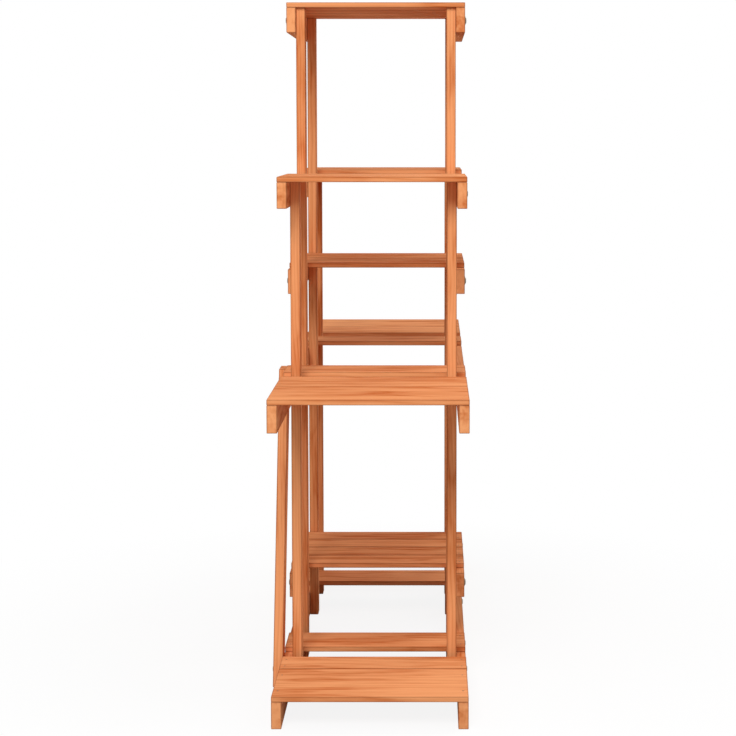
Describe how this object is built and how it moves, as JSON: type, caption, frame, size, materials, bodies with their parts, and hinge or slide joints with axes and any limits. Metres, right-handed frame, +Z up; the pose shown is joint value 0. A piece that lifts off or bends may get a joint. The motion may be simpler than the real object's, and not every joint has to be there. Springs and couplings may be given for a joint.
{
  "type": "plant ladder stand",
  "caption": "Free-standing slatted wooden plant stand with a tall middle tower, a stepped wing at each end and slanted back braces.",
  "frame": {"origin": "on the floor, below the middle of the outer box", "axes": "+Z up, +X towards the open front, away from the braces, and Y along the length, with left at -Y"},
  "size_m": [0.2674, 0.95, 0.934],
  "materials": {
    "stained_fir": "satin orange-brown stain over a fine straight grain",
    "screw_steel": "satin"
  },
  "bodies": {
    "root": {"back_low_shelf_rail": "stained_fir", "back_mid_shelf_rail": "stained_fir", "back_step_rail": "stained_fir", "back_top_shelf_rail": "stained_fir", "back_tower_shelf_rail": "stained_fir", "front_low_shelf_rail": "stained_fir", "front_mid_shelf_rail": "stained_fir", "front_step_rail": "stained_fir", "front_top_shelf_rail": "stained_fir", "front_tower_shelf_rail": "stained_fir", "left_back_tower_upright": "stained_fir", "left_back_wing_shelf_rail": "stained_fir", "left_back_wing_upright": "stained_fir", "left_brace": "stained_fir", "left_front_top_screw": "screw_steel", "left_front_tower_upright": "stained_fir", "left_front_wing_shelf_rail": "stained_fir", "left_front_wing_upright": "stained_fir", "left_lower_brace_screw": "screw_steel", "left_mid_shelf_slat_1": "stained_fir", "left_mid_shelf_slat_2": "stained_fir", "left_mid_shelf_slat_3": "stained_fir", "left_step_slat_1": "stained_fir", "left_step_slat_2": "stained_fir", "left_step_slat_3": "stained_fir", "left_upper_brace_screw": "screw_steel", "left_wing_shelf_slat_1": "stained_fir", "left_wing_shelf_slat_2": "stained_fir", "left_wing_shelf_slat_3": "stained_fir", "low_shelf_slat_1": "stained_fir", "low_shelf_slat_2": "stained_fir", "low_shelf_slat_3": "stained_fir", "low_shelf_slat_4": "stained_fir", "right_back_tower_upright": "stained_fir", "right_back_wing_shelf_rail": "stained_fir", "right_back_wing_upright": "stained_fir", "right_brace": "stained_fir", "right_front_top_screw": "screw_steel", "right_front_tower_upright": "stained_fir", "right_front_wing_shelf_rail": "stained_fir", "right_front_wing_upright": "stained_fir", "right_lower_brace_screw": "screw_steel", "right_mid_shelf_slat_1": "stained_fir", "right_mid_shelf_slat_2": "stained_fir", "right_mid_shelf_slat_3": "stained_fir", "right_step_slat_1": "stained_fir", "right_step_slat_2": "stained_fir", "right_step_slat_3": "stained_fir", "right_upper_brace_screw": "screw_steel", "right_wing_shelf_slat_1": "stained_fir", "right_wing_shelf_slat_2": "stained_fir", "right_wing_shelf_slat_3": "stained_fir", "top_shelf_slat_1": "stained_fir", "top_shelf_slat_2": "stained_fir", "top_shelf_slat_3": "stained_fir", "top_shelf_slat_4": "stained_fir", "tower_shelf_slat_1": "stained_fir", "tower_shelf_slat_2": "stained_fir", "tower_shelf_slat_3": "stained_fir", "tower_shelf_slat_4": "stained_fir"}
  },
  "joints": []
}
